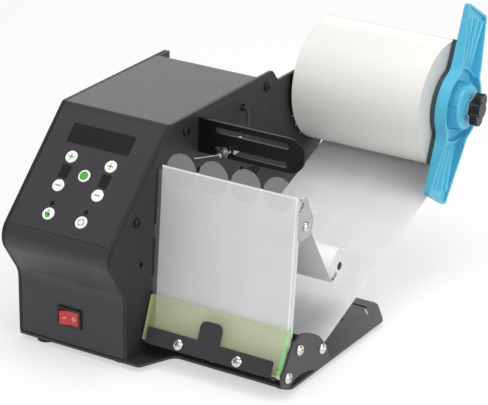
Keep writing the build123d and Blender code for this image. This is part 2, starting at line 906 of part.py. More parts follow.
# Bracket that closes the free end of the peel plate
with BuildPart() as peel_bracket:
    with BuildSketch(side(peel_end)):
        with BuildLine():
            FilletPolyline(
                (peel_y - 0.3, peel_z),
                (peel_y + 6.2, peel_z),
                (upper_rod[0] + 10.4, upper_rod[1] + 3.0),
                (upper_rod[0] + 7.6, upper_rod[1] - 9.6),
                (upper_rod[0] - 8.4, upper_rod[1] - 9.0),
                (peel_y - 1.6, peel_z - 8.4),
                (peel_y + 3.0, peel_z - 6.2),
                (peel_y + 3.2, peel_z - 3.4),
                (peel_y - 0.4, peel_z - 2.6),
                radius=[0.8, 3, 5, 6.5, 3, 1, 1, 1, 0.8],
                close=True,
            )
        make_face()
        with Locations(upper_rod):
            Circle(2.1, mode=Mode.SUBTRACT)
    extrude(amount=1.5)
peel_bracket.part.label = "peel_bracket"
export_step(peel_bracket.part, "parts/peel_bracket.step")


# Cross rod with a turned tip in the side plate and a tapped far end
def cross_rod(place, radius, tip, end):
    with BuildSketch(side(box_outer)) as body:
        with Locations(place):
            Circle(radius)
    extrude(body.sketch, amount=end - box_outer)
    with BuildSketch(side(box_x)) as stub:
        with Locations(place):
            Circle(tip)
    extrude(stub.sketch, amount=plate)
    with BuildSketch(side(end - 8)) as thread:
        with Locations(place):
            Circle(2.0)
    extrude(thread.sketch, amount=8, mode=Mode.SUBTRACT)


with BuildPart() as cross_rods:
    cross_rod(upper_rod, rod_r, 3.0, peel_end)
    cross_rod(front_rod, rod_r, 3.0, ear_x)
    cross_rod(guide, guide_r, 2.5, ear_x)
    cross_rod(pivot, guide_r, 2.5, ear_x)
cross_rods.part.label = "cross_rods"
export_step(cross_rods.part, "parts/cross_rods.step")

with BuildPart() as rear_guide_roller:
    with BuildSketch(side(box_outer + 1.2)):
        with Locations(guide):
            Circle(guide_roll_r)
            Circle(guide_r + 0.05, mode=Mode.SUBTRACT)
    extrude(amount=ear_x - box_outer - 2.4)
rear_guide_roller.part.label = "rear_guide_roller"
export_step(rear_guide_roller.part, "parts/rear_guide_roller.step")

# Presser flap: bent steel strip with knuckles on the rod, and its clear window
lean_f = radians(flap_lean)
pivot_d = (pivot[0] - flap_y) * cos(lean_f) - (pivot[1] - flap_z) * sin(lean_f)
pivot_h = (pivot[0] - flap_y) * sin(lean_f) + (pivot[1] - flap_z) * cos(lean_f)
flap_screws = [(strip_x + 27.5, 3.6), (strip_end - 28.0, 3.6)]
with BuildPart() as presser_strip:
    with BuildSketch(facing(flap_y, flap_z, flap_lean, 0)):
        with BuildLine():
            FilletPolyline(
                (strip_x, -strip_t - 0.1),
                (strip_end, -strip_t - 0.1),
                (strip_end, 10.5),
                (162.2, 10.5),
                (162.2, 25.2),
                (144.2, 25.2),
                (144.2, 10.5),
                (strip_x, 10.5),
                radius=[0, 0, 1.5, 0.6, 5, 5, 0.6, 1.5],
                close=True,
            )
        make_face()
        with Locations(*flap_screws):
            Circle(2.0, mode=Mode.SUBTRACT)
    extrude(amount=strip_t)
    with BuildSketch(leaning(flap_y, flap_z, flap_lean, strip_x)):
        with Locations(((window_t - strip_t) / 2 + 0.3, -strip_t / 2 - 0.1)):
            Rectangle(window_t + strip_t + 0.6, strip_t)
    extrude(amount=strip_end - strip_x)
    for knuckle_x in (strip_x, (strip_x + strip_end) / 2 - 1, strip_end - 2):
        with BuildSketch(leaning(flap_y, flap_z, flap_lean, knuckle_x)):
            with Locations((pivot_d, pivot_h)):
                Circle(4.5)
            with Locations(((pivot_d + 2) / 2, -strip_t / 2 - 0.1)):
                Rectangle(pivot_d - 2, strip_t)
            with Locations(((pivot_d + window_t + 0.2) / 2, 0.9)):
                Rectangle(pivot_d - window_t - 0.2, 2.2)
            with Locations((pivot_d, pivot_h)):
                Circle(guide_r + 0.05, mode=Mode.SUBTRACT)
        extrude(amount=2)
presser_strip.part.label = "presser_strip"
export_step(presser_strip.part, "parts/presser_strip.step")

with BuildPart() as presser_window:
    with BuildSketch(facing(flap_y, flap_z, flap_lean, 0)):
        with Locations(((window_x + peel_end) / 2, flap_h / 2)):
            RectangleRounded(peel_end - window_x, flap_h, 0.8)
        with Locations(*flap_screws):
            Circle(2.0, mode=Mode.SUBTRACT)
    extrude(amount=-window_t)
presser_window.part.label = "presser_window"
export_step(presser_window.part, "parts/presser_window.step")

with BuildPart() as presser_screws:
    screw(facing(flap_y, flap_z, flap_lean, strip_t), flap_screws, strip_t + window_t, head_r=4.2, head_h=2.8)
presser_screws.part.label = "presser_screws"
export_step(presser_screws.part, "parts/presser_screws.step")

with BuildPart() as presser_spring:
    with BuildSketch(side(strip_x + 2.2)):
        with Locations(pivot):
            Circle(guide_r + 1.3)
            Circle(guide_r + 0.3, mode=Mode.SUBTRACT)
    extrude(amount=7)
presser_spring.part.label = "presser_spring"
export_step(presser_spring.part, "parts/presser_spring.step")

# Slotted sensor bar with its flange on the side plate
bar_mid = (bar_z[0] + bar_z[1]) / 2
bar_half = (bar_z[1] - bar_z[0]) / 2
with BuildPart() as sensor_bar:
    with BuildSketch(front(bar_y + bar_t)):
        with Locations(((box_outer + bar_end - bar_half) / 2, bar_mid)):
            Rectangle(bar_end - bar_half - box_outer, 2 * bar_half)
        with Locations((bar_end - bar_half, bar_mid)):
            Circle(bar_half)
        with Locations((141.8, 157.0)):
            SlotOverall(61.6, 4.4, mode=Mode.SUBTRACT)
        with Locations((140.7, sensor_z)):
            SlotOverall(60.7, 4.2, mode=Mode.SUBTRACT)
    extrude(amount=bar_t)
    with BuildSketch(side(box_outer)):
        with Locations((bar_y + 12, bar_z[0] + bar_foot / 2)):
            Rectangle(24, bar_foot)
        with Locations(*bar_screws):
            Circle(2.0, mode=Mode.SUBTRACT)
    extrude(amount=bar_t)
sensor_bar.part.label = "sensor_bar"
export_step(sensor_bar.part, "parts/sensor_bar.step")

# Feeler switch clamped in the lower slot, its nuts and the feeler wire
sensor_back = bar_y + bar_t + 17
wire_y = 85.0
with BuildPart() as sensor_switch:
    with BuildSketch(front(sensor_back)):
        with Locations((sensor_x, sensor_z)):
            Circle(5.5)
    extrude(amount=sensor_back - bar_y - bar_t)
    with BuildSketch(front(bar_y + bar_t)):
        with Locations((sensor_x, sensor_z)):
            Circle(2.0)
    extrude(amount=bar_y + bar_t - wire_y - 2.4)
    with BuildSketch(level(sensor_z - 1.9)):
        with Locations((sensor_x, wire_y + 1)):
            Rectangle(3.2, 5.2)
    extrude(amount=3.8)
    with BuildSketch(level(sensor_z - 1.1)):
        with Locations((sensor_x, wire_y)):
            Rectangle(3.4, 4.4)
    extrude(amount=2.2, mode=Mode.SUBTRACT)
    with BuildSketch(level(sensor_z - 1.9)):
        with Locations((sensor_x, wire_y)):
            Circle(0.5)
    extrude(amount=3.8)
sensor_switch.part.label = "sensor_switch"
export_step(sensor_switch.part, "parts/sensor_switch.step")

with BuildPart() as hex_nuts:
    with BuildSketch(front(bar_y)):
        with Locations((sensor_x, sensor_z)):
            RegularPolygon(4.1, 6, major_radius=False)
            Circle(2.03, mode=Mode.SUBTRACT)
    extrude(amount=3.2)
    with BuildSketch(side(box_x - 6)):
        with Locations(spindle):
            RegularPolygon(8.5, 6, major_radius=False)
            Circle(spindle_r + 0.03, mode=Mode.SUBTRACT)
    extrude(amount=6)
hex_nuts.part.label = "hex_nuts"
export_step(hex_nuts.part, "parts/hex_nuts.step")

feeler_tip = (113.7, 60.0, 146.5)
wire_dir = Vector(feeler_tip[0] - sensor_x, feeler_tip[1] - wire_y, feeler_tip[2] - sensor_z)
wire_plane = Plane(origin=(left_x + sensor_x, front_y + wire_y, sensor_z), z_dir=wire_dir)
with BuildPart() as sensor_wire:
    with BuildSketch(wire_plane.offset(0.9)):
        Circle(0.5)
    extrude(amount=wire_dir.length - 0.9)
    with BuildSketch(level(sensor_z - 1.0)):
        with Locations((sensor_x, wire_y)):
            Circle(1.4)
    extrude(amount=2.0)
    with BuildSketch(level(sensor_z - 2.0)):
        with Locations((sensor_x, wire_y)):
            Circle(0.55)
    extrude(amount=4.0, mode=Mode.SUBTRACT)
sensor_wire.part.label = "sensor_wire"
export_step(sensor_wire.part, "parts/sensor_wire.step")

# Lead of the sensor, from the hole in the side plate round to the back of the switch
lead_r = 1.4
lead_points = [
    Vector(left_x + x, front_y + y, z)
    for x, y, z in (
        (box_x - 3, 153.5, 152.3),
        (box_outer + 3.4, 153.5, 152.3),
        (106.0, 145.5, 150.6),
        (114.0, 132.0, 146.0),
        (sensor_x, 122.0, sensor_z),
        (sensor_x, sensor_back, sensor_z),
    )
]
lead_bends = []
for before, here, after in zip(lead_points, lead_points[1:], lead_points[2:]):
    turn = radians((here - before).get_angle(after - here))
    lead_bends.append(0.45 * min((here - before).length, (after - here).length) / tan(turn / 2))
print("lead bend radii", [round(bend, 1) for bend in lead_bends])
with BuildPart() as sensor_cable:
    with BuildLine() as lead_path:
        FilletPolyline(*lead_points, radius=lead_bends)
    with BuildSketch(Plane(origin=lead_points[0], z_dir=(1, 0, 0))):
        Circle(lead_r)
    sweep(path=lead_path.wires()[0])
sensor_cable.part.label = "sensor_cable"
export_step(sensor_cable.part, "parts/sensor_cable.step")

# Fixed spindle with its shoulder on the arm
knob_x = 228.2
with BuildPart() as spindle_rod:
    with BuildSketch(side(box_x - 8)):
        with Locations(spindle):
            Circle(spindle_r)
    extrude(amount=knob_x + 7 - box_x + 8)
    with BuildSketch(side(box_outer)):
        with Locations(spindle):
            Circle(10)
    extrude(amount=1.2)
spindle_rod.part.label = "spindle_rod"
export_step(spindle_rod.part, "parts/spindle_rod.step")

with BuildPart() as roll_flange:
    with BuildSketch(side(box_outer + 1.5)):
        with Locations(spindle):
            Circle(44)
            Circle(spindle_r + 0.05, mode=Mode.SUBTRACT)
    extrude(amount=roll_x - box_outer - 1.5)
    with BuildSketch(side(roll_x)):
        with Locations(spindle):
            Circle(core_r - 0.3)
            Circle(spindle_r + 0.05, mode=Mode.SUBTRACT)
    extrude(amount=14)
roll_flange.part.label = "roll_flange"
export_step(roll_flange.part, "parts/roll_flange.step")

with BuildPart() as roll_core:
    with BuildSketch(side(roll_x)):
        with Locations(spindle):
            Circle(core_r + core_t)
            Circle(core_r, mode=Mode.SUBTRACT)
    extrude(amount=roll_end - roll_x)
roll_core.part.label = "roll_core"
export_step(roll_core.part, "parts/roll_core.step")

with BuildPart() as supply_roll:
    with BuildSketch(side(roll_x)):
        with Locations(spindle):
            Circle(roll_r)
            Circle(core_r + core_t + 0.05, mode=Mode.SUBTRACT)
    extrude(amount=roll_end - roll_x)
supply_roll.part.label = "supply_roll"
export_step(supply_roll.part, "parts/supply_roll.step")

# Black pad between the roll and the holder
with BuildPart() as holder_pad:
    with BuildSketch(across(holder_x - pad_t)):
        Rectangle(31, 96)
        Circle(29)
        Circle(core_r, mode=Mode.SUBTRACT)
    extrude(amount=pad_t)
holder_pad.part.label = "holder_pad"
export_step(holder_pad.part, "parts/holder_pad.step")

# Moulded roll holder: two channel arms whose walls run out at the tips, a round bowl with its hub, and a plug in the core
arm_half = 17.6
tip_high = 77.0
tip_low = 71.0
rim_t = 9.0
wall_t = 2.0
floor_t = 2.5
bowl_floor = 1.5
bowl_r = 30.0
hub_r = 18.0
hub_rise = 13.2
boss_r = 9.5


def arm_corners(inset):
    half, high, low = arm_half - inset, tip_high - inset, tip_low - inset
    return [(-half, high), (half, low), (half, -high), (-half, -low)]


with BuildPart() as roll_holder:
    with BuildSketch(across(holder_x)) as arms:
        with BuildLine():
            FilletPolyline(*arm_corners(0), radius=3, close=True)
        make_face()
        Circle(bowl_r)
        fillet([v for v in arms.vertices() if abs(v.X) < bowl_r * 0.7 and abs(v.Y) < bowl_r], radius=12)
    extrude(amount=rim_t)
    with BuildSketch(across(holder_x + floor_t)):
        with BuildLine():
            FilletPolyline(*arm_corners(wall_t), radius=2, close=True)
        make_face()
        Circle(bowl_r, mode=Mode.SUBTRACT)
    extrude(amount=rim_t, mode=Mode.SUBTRACT)
    with BuildSketch(across(holder_x + floor_t + 2)):
        Rectangle(2 * (arm_half - wall_t), 2.2 * bowl_r)
        Circle(bowl_r + 0.5, mode=Mode.INTERSECT)
    extrude(amount=rim_t, mode=Mode.SUBTRACT)
    with BuildSketch(across(holder_x + bowl_floor)):
        Circle(bowl_r - wall_t)
    extrude(amount=rim_t, mode=Mode.SUBTRACT)
    slant = radians(holder_tilt)
    arm_side = Plane(
        origin=(left_x + holder_x, front_y + spindle[0], spindle[1]),
        x_dir=(0, sin(slant), cos(slant)),
        z_dir=(0, cos(slant), -sin(slant)),
    )
    for way in (1, -1):
        with BuildSketch(arm_side):
            with BuildLine():
                Polyline(
                    (way * bowl_r, rim_t),
                    (way * (tip_high + 2), floor_t + 0.8),
                    (way * (tip_high + 2), rim_t + 1),
                    (way * bowl_r, rim_t + 1),
                    close=True,
                )
            make_face()
        extrude(amount=arm_half + 2, both=True, mode=Mode.SUBTRACT)
        with BuildSketch(across(holder_x + floor_t - 1)):
            for near, far in ((-5.0, -10.5), (0.0, 0.0), (5.0, 10.5)):
                with Locations(((near + far) / 2, way * 49.5)):
                    SlotOverall(34, 1.8, rotation=90 - way * degrees(atan2(far - near, 33)))
        extrude(amount=3, mode=Mode.SUBTRACT)
    with Locations(across(holder_x + bowl_floor).location):
        Cone(hub_r, hub_r - 0.8, hub_rise - bowl_floor, align=upward)
    fillet(roll_holder.edges().filter_by(GeomType.CIRCLE).sort_by(Axis.X)[-1], radius=1.5)
    with BuildSketch(across(holder_x + bowl_floor)):
        Rectangle(2 * hub_r + 2, 1.8)
        Rectangle(1.8, 2 * hub_r + 2)
    extrude(amount=hub_rise - bowl_floor - 1.5)
    with BuildSketch(across(holder_x)):
        Circle(core_r - 0.3)
    extrude(amount=-18)
    with BuildSketch(across(holder_x + bowl_floor)):
        Circle(boss_r)
    extrude(amount=hub_rise + 0.8 - bowl_floor)
    with BuildSketch(across(holder_x - 20)):
        Circle(spindle_r + 0.05)
    extrude(amount=40, mode=Mode.SUBTRACT)
roll_holder.part.label = "roll_holder"
export_step(roll_holder.part, "parts/roll_holder.step")

hub_end = holder_x + hub_rise + 0.8
nut_t = 2.4
with BuildPart() as spindle_washer:
    with BuildSketch(side(hub_end + 0.1)):
        with Locations(spindle):
            Circle(8.5)
            Circle(spindle_r + 0.05, mode=Mode.SUBTRACT)
    extrude(amount=nut_t)
spindle_washer.part.label = "spindle_washer"
export_step(spindle_washer.part, "parts/spindle_washer.step")

# Two-lobed knob on the threaded end of the spindle
knob_start = hub_end + nut_t + 0.2
knob_end = hub_end + 11
with BuildPart() as clamp_knob:
    with BuildSketch(leaning(spindle[0], spindle[1], knob_tilt, knob_start + 1.6)):
        with Locations((0, 7.2), (0, -7.2)):
            Circle(5.6)
        Rectangle(8, 14)
    extrude(amount=6.4)
    fillet(clamp_knob.faces().sort_by(Axis.X)[-1].edges(), radius=1.0)
    with BuildSketch(side(knob_start)):
        with Locations(spindle):
            Circle(6.2)
    extrude(amount=knob_end - knob_start)
    with BuildSketch(side(knob_start)):
        with Locations(spindle):
            Circle(spindle_r + 0.05)
    extrude(amount=6.6, mode=Mode.SUBTRACT)
clamp_knob.part.label = "clamp_knob"
export_step(clamp_knob.part, "parts/clamp_knob.step")
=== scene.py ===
from math import atan2, cos, pi, radians, sin

import bmesh
import bpy
from mathutils import Matrix, Vector


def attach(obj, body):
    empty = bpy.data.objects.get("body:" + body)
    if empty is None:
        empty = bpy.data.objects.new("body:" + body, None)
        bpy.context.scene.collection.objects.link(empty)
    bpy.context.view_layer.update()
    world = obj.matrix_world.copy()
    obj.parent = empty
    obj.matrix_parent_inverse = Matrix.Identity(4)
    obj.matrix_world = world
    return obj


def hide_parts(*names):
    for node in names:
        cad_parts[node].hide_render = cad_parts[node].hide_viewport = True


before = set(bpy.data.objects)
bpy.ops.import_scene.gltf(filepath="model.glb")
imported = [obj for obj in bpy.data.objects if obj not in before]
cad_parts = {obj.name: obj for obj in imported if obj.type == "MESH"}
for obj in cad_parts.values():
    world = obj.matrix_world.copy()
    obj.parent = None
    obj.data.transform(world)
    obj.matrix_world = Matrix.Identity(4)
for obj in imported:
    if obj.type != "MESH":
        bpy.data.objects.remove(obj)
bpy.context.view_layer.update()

# Machine frame: x from the left face of the box, y from its lower front, z from the table, in mm
LEFT_X, FRONT_Y = -117.8, -148.64
ROLL_Y, ROLL_Z = 267.85, 143.33
FLAP_Y, FLAP_Z, FLAP_LEAN = 15.3, 18.4, radians(22)
SLOPE_TOP_Y, SLOPE_TOP_Z, SLOPE_ANGLE = 58.8, 168, radians(44)


def at(x, y, z):
    return Vector(((x + LEFT_X) / 1000, (y + FRONT_Y) / 1000, z / 1000))


def x_of(x):
    return at(x, 0, 0).x


def y_of(y):
    return at(0, y, 0).y


# A mesh, curve, lamp or camera becomes an object of the scene
def in_scene(name, data):
    made = bpy.data.objects.new(name, data)
    bpy.context.scene.collection.objects.link(made)
    return made


# Camera at the photograph's angle, its focal length in pixels of the photograph
PHOTO_WIDTH, FOCAL_LENGTH, SENSOR_WIDTH = 488, 2361.338, 36
turn, tip, roll = radians(31.7028), radians(22.820), radians(0.5858)
back = Vector((sin(turn) * cos(tip), -cos(turn) * cos(tip), sin(tip)))
flat_right = Vector((cos(turn), sin(turn), 0))
flat_up = back.cross(flat_right)
right = cos(roll) * flat_right + sin(roll) * flat_up
up = cos(roll) * flat_up - sin(roll) * flat_right
spot = at(962.593, -1246.169, 768.332)
lens = bpy.data.cameras.new("studio_camera")
lens.sensor_width = SENSOR_WIDTH
lens.sensor_fit = "HORIZONTAL"
lens.lens = FOCAL_LENGTH / PHOTO_WIDTH * SENSOR_WIDTH
lens.clip_end = 20
camera = in_scene("studio_camera", lens)
camera.matrix_world = Matrix((
    (right.x, up.x, back.x, spot.x),
    (right.y, up.y, back.y, spot.y),
    (right.z, up.z, back.z, spot.z),
    (0, 0, 0, 1),
))
bpy.context.scene.camera = camera
bpy.context.scene.view_settings.view_transform = "Standard"


def opaque(colour):
    return (*colour, 1) if len(colour) == 3 else colour


def tinted(colour, factor):
    return tuple(channel * factor for channel in colour)


# Shader values: operators on a value add its Math nodes
class Value:
    def __init__(self, finish, socket):
        self.finish = finish
        self.socket = socket

    def math(self, operation, *values):
        return self.finish.node("ShaderNodeMath", {"operation": operation}, dict(enumerate(values)))

    def __add__(self, other):
        return self.math("ADD", self, other)

    def __radd__(self, other):
        return self.math("ADD", other, self)

    def __sub__(self, other):
        return self.math("SUBTRACT", self, other)

    def __rsub__(self, other):
        return self.math("SUBTRACT", other, self)

    def __mul__(self, other):
        return self.math("MULTIPLY", self, other)

    def __rmul__(self, other):
        return self.math("MULTIPLY", other, self)

    def __truediv__(self, other):
        return self.math("DIVIDE", self, other)

    def __lt__(self, other):
        return self.math("LESS_THAN", self, other)

    def __gt__(self, other):
        return self.math("GREATER_THAN", self, other)

    def fraction(self):
        return self.math("FRACT", self)

    def root(self):
        return self.math("SQRT", self)

    def at_most(self, limit):
        return self.math("MINIMUM", self, limit)


# A material with one shader, whose nodes all come from the node method
class Finish:
    def __init__(self, name, **values):
        self.material = bpy.data.materials.new(name)
        self.material.use_nodes = True
        self.tree = self.material.node_tree
        self.shader = self.tree.nodes["Principled BSDF"]
        for key, value in values.items():
            self.set(key.replace("_", " ").title().replace("Ior", "IOR"), value)

    def set(self, socket, value):
        if isinstance(value, Value):
            self.tree.links.new(value.socket, self.shader.inputs[socket])
        else:
            constant = opaque(value) if isinstance(value, tuple) else value
            self.shader.inputs[socket].default_value = constant

    def node(self, kind, settings=None, inputs=None, output=0):
        made = self.tree.nodes.new(kind)
        for key, value in (settings or {}).items():
            if key == "stops":
                ramp = made.color_ramp
                while len(ramp.elements) < len(value):
                    ramp.elements.new(0.5)
                for element, (place, colour) in zip(ramp.elements, value):
                    element.position = place
                    element.color = opaque(colour)
            else:
                setattr(made, key, value)
        for key, value in (inputs or {}).items():
            if isinstance(value, Value):
                self.tree.links.new(value.socket, made.inputs[key])
            else:
                made.inputs[key].default_value = value
        return Value(self, made.outputs[output])

    def place(self):
        return self.node("ShaderNodeTexCoord", output=3)

    def axis(self, place, index):
        return self.node("ShaderNodeSeparateXYZ", None, {0: place}, index)

    # Varies along one value only, for layers and steps
    def along(self, value):
        return self.node("ShaderNodeCombineXYZ", None, {0: value})

    def stretched(self, place, scale):
        return self.node("ShaderNodeMapping", None, {"Vector": place, "Scale": scale})

    def noise(self, place, scale, detail=3.0, rough=0.5):
        inputs = {"Vector": place, "Scale": scale, "Detail": detail, "Roughness": rough}
        return self.node("ShaderNodeTexNoise", None, inputs)

    def ramp(self, value, *stops):
        return self.node("ShaderNodeValToRGB", {"stops": stops}, {"Fac": value})

    # From a darker to a lighter tint of one colour
    def shades(self, value, colour, low, high=1.0, spread=0.2):
        darker, lighter = tinted(colour, low), tinted(colour, high)
        return self.ramp(value, (0.5 - spread, darker), (0.5 + spread, lighter))

    # From the first number where a value is low to the last one where it is high
    def graded(self, value, low, high, first, last):
        return self.node("ShaderNodeMapRange", None, {0: value, 1: low, 2: high, 3: first, 4: last})

    def mix(self, factor, first, second):
        colours = [opaque(c) if isinstance(c, tuple) else c for c in (first, second)]
        inputs = {0: factor, 6: colours[0], 7: colours[1]}
        return self.node("ShaderNodeMix", {"data_type": "RGBA"}, inputs, 2)

    def bump(self, height, distance):
        inputs = {"Height": height, "Distance": distance, "Strength": 1.0}
        self.set("Normal", self.node("ShaderNodeBump", None, inputs))


# Powder coat with a fine orange peel
def powder_coat(name, colour, rough, **values):
    coat = Finish(name, roughness=rough, **values)
    place = coat.place()
    coat.set("Base Color", coat.shades(coat.noise(place, 14, 4), colour, 0.97, 1.03))
    coat.set("Roughness", coat.noise(place, 300, 2) * 0.12 + (rough - 0.06))
    coat.bump(coat.noise(place, 1100, 3), 0.00006)
    return coat.material


# Moulded plastic with a light texture
def moulded(name, colour, rough, scale=700, height=0.00004, **values):
    made = Finish(name, roughness=rough, **values)
    place = made.place()
    made.set("Base Color", made.shades(made.noise(place, 22, 3), colour, 0.94, 1.05))
    made.set("Roughness", made.noise(place, 90, 3) * 0.1 + (rough - 0.05))
    made.bump(made.noise(place, scale, 2), height)
    return made.material


# Turned or brushed metal, its lines drawn out along one axis
def metal(name, colour, rough, stretch=(1, 1, 1), depth=0.00002):
    made = Finish(name, metallic=1.0, roughness=rough)
    lines = made.noise(made.stretched(made.place(), stretch), 240, 4, 0.6)
    made.set("Base Color", made.shades(lines, colour, 0.85, spread=0.25))
    made.set("Roughness", lines * 0.2 + (rough - 0.1))
    made.bump(lines, depth)
    return made.material


# Liner paper with the faint discs of the clear labels that lie on it; painted shade darkens the
# front web towards its left end, and its top fold and right edge carry a painted highlight
def web_paper():
    pitch, label_x, label_row_z = 0.0266, x_of(116.5), 0.145
    front_slant, rear_slant = 1.0038, 1.0737
    top_edge_z, right_edge_x, rear_starts_y = 0.1443, x_of(210.2), y_of(41)
    paper = Finish("web_paper", roughness=0.5)
    place = paper.place()
    x, y, z = (paper.axis(place, index) for index in range(3))
    front = y < rear_starts_y
    lengths = {0: front, 2: y * rear_slant, 3: z * front_slant}
    length = paper.node("ShaderNodeMix", {"data_type": "FLOAT"}, lengths)
    column = ((x - label_x) / pitch + 0.5).fraction() - 0.5
    row = ((length - label_row_z) / pitch + 0.5).fraction() - 0.5
    disc = paper.graded((column * column + row * row).root(), 0.452, 0.466, 1.0, 0.0)
    cloud = paper.noise(place, 30, 3)
    bare = paper.ramp(cloud, (0.3, (0.71, 0.71, 0.72)), (0.7, (0.74, 0.74, 0.75)))
    film = paper.ramp(cloud, (0.3, (0.695, 0.695, 0.708)), (0.7, (0.722, 0.722, 0.734)))
    # painted shade: the front web greys towards its left end
    left_painted_shade = paper.graded(x, x_of(100), x_of(175), 0.62, 0.14) * front
    shaded = paper.mix(left_painted_shade, paper.mix(disc, bare, film), (0.45, 0.445, 0.46))
    # painted highlight: the front web is lighter above its top fold over the peel edge and right of
    # its right edge
    painted_highlight_edges = (front * ((z > top_edge_z) + (x > right_edge_x))).at_most(1.0)
    paper.set("Base Color", paper.mix(painted_highlight_edges, shaded, (0.93, 0.93, 0.93)))
    paper.set("Roughness", 0.5 - disc * 0.18)
    paper.bump(disc * 0.4 + paper.noise(place, 900, 2) * 0.1, 0.00006)
    return paper.material


# Wound labels: fine layers on the ends, the faintest steps along the outside
def roll_paper():
    left_end_x, right_end_x = x_of(99.4), x_of(208.3)
    paper = Finish("roll_paper", roughness=0.42, coat_weight=0.25)
    place = paper.place()
    x = paper.axis(place, 0)
    y = paper.axis(place, 1) - y_of(ROLL_Y)
    z = paper.axis(place, 2) - ROLL_Z / 1000
    layers = paper.noise(paper.along((y * y + z * z).root()), 2600, 3)
    steps = paper.noise(paper.along(x), 60, 1)
    cloud = paper.noise(place, 26, 2)
    end = (x > right_end_x) + (x < left_end_x)
    outside = cloud * 0.7 + steps * 0.3
    cream = paper.ramp(outside, (0.3, (0.790, 0.772, 0.735)), (0.7, (0.822, 0.806, 0.772)))
    rings = paper.ramp(layers, (0.3, (0.50, 0.495, 0.48)), (0.7, (0.64, 0.63, 0.61)))
    paper.set("Base Color", paper.mix(end, cream, rings))
    paper.bump(layers * end + cloud * 0.5, 0.00008)
    return paper.material


# Clear film, a little grey where it stands free, hardly seen where it lies on the paper
def clear_film():
    free_alpha, laid_alpha, paper_top_z = 0.19, 0.04, 0.1453
    film = Finish("label_film", roughness=0.35)
    place = film.place()
    free = film.axis(place, 2) > paper_top_z
    film.set("Alpha", free * (free_alpha - laid_alpha) + laid_alpha)
    film.set("Base Color", film.shades(film.noise(place, 60, 2), (0.58, 0.58, 0.60), 0.96))
    film.bump(film.noise(place, 40, 2), 0.00004)
    return film.material


# Edge-lit acrylic: pale in the middle, denser along its cut edges, where a brighter green is
# painted glow; the right end also emits a painted glow
def acrylic_sheet():
    left_cut_x, right_cut_x, lower_cut, upper_cut = x_of(99.3), x_of(211.4), 0.0004, 0.0330
    sheet = Finish("green_acrylic", roughness=0.06, emission_strength=0.06)
    place = sheet.place()
    x = sheet.axis(place, 0)
    depth = sheet.axis(place, 1) - y_of(FLAP_Y)
    rise = depth * sin(FLAP_LEAN) + (sheet.axis(place, 2) - FLAP_Z / 1000) * cos(FLAP_LEAN)
    right_end = x > right_cut_x
    inner = (x > left_cut_x) * (1 - right_end) * (rise < upper_cut) * (rise > lower_cut)
    edge = 1 - inner
    cloud = sheet.noise(place, 18, 2)
    pale = sheet.ramp(cloud, (0.3, (0.60, 0.70, 0.32)), (0.7, (0.68, 0.76, 0.40)))
    lit = sheet.ramp(cloud, (0.3, (0.46, 0.60, 0.24)), (0.7, (0.58, 0.70, 0.34)))
    # painted glow: a brighter green along the cut edges, brightest at the right end, which also
    # emits
    painted_edge_glow = sheet.mix(right_end, lit, (0.30, 0.68, 0.24))
    sheet.set("Base Color", sheet.mix(edge, pale, painted_edge_glow))
    sheet.set("Emission Color", sheet.mix(right_end, (0.0, 0.0, 0.0), (0.35, 0.85, 0.22)))
    sheet.set("Alpha", edge * 0.30 + 0.22)
    sheet.bump(sheet.noise(place, 30, 2), 0.00003)
    return sheet.material


graphite = powder_coat("graphite_coat", (0.032, 0.0305, 0.035), 0.4)
# painted shade: a darker copy of the graphite coat for the side plates
graphite_painted_shade = powder_coat("graphite_painted_shade", (0.020, 0.0195, 0.0205), 0.5, specular_ior_level=0.35)
black_coat = powder_coat("black_coat", (0.0045, 0.0045, 0.005), 0.42, specular_ior_level=0.25)
base_coat = powder_coat("base_coat", (0.030, 0.029, 0.032), 0.42)
overlay_film = moulded(
    "overlay_film", (0.043, 0.0405, 0.0455), 0.55, 1500, 0.00002, specular_ior_level=0.3
)
dark_window = moulded(
    "dark_window", (0.018, 0.0165, 0.0195), 0.5, 300, 0.000005, specular_ior_level=0.12
)
lamp_lens = moulded("lamp_lens", (0.012, 0.009, 0.010), 0.3, specular_ior_level=0.2)
key_white = moulded("key_white", (0.88, 0.90, 0.86), 0.4, 900, 0.00001)
key_green = moulded("key_green", (0.085, 0.42, 0.055), 0.4, 900, 0.00001)
key_dark_green = moulded("key_dark_green", (0.06, 0.26, 0.04), 0.4, 900, 0.00001)
black_plastic = moulded("black_plastic", (0.012, 0.012, 0.013), 0.42)
knob_plastic = moulded("knob_plastic", (0.010, 0.008, 0.009), 0.22, 500, 0.00003)
rocker_red = moulded("rocker_red", (0.56, 0.012, 0.018), 0.25, 500, 0.00001, coat_weight=0.4)
rocker_mark = moulded("rocker_mark", (0.85, 0.62, 0.60), 0.4, 500, 0.00001)
board_green = moulded("board_green", (0.02, 0.16, 0.06), 0.35)
rubber = moulded("rubber", (0.018, 0.018, 0.018), 0.75)
liner_finish = moulded("liner_paper", (0.80, 0.80, 0.805), 0.5, 500, 0.00002)
core_board = moulded("core_board", (0.42, 0.32, 0.2), 0.8)
holder_blue = moulded("holder_blue", (0.078, 0.42, 0.61), 0.36, 400, 0.00003)
# painted highlight: a lighter copy of the holder's blue for the ribs
rib_painted_highlight_blue = moulded("rib_painted_highlight_blue", (0.15, 0.56, 0.74), 0.36, 400, 0.00003)
# painted shadow: the holder's pad is a dark teal for the shadow between the holder and the roll's
# end
painted_shadow_teal = moulded("painted_shadow_teal", (0.026, 0.055, 0.068), 0.5)
nickel = metal("nickel", (0.50, 0.48, 0.465), 0.26, depth=0.000004)
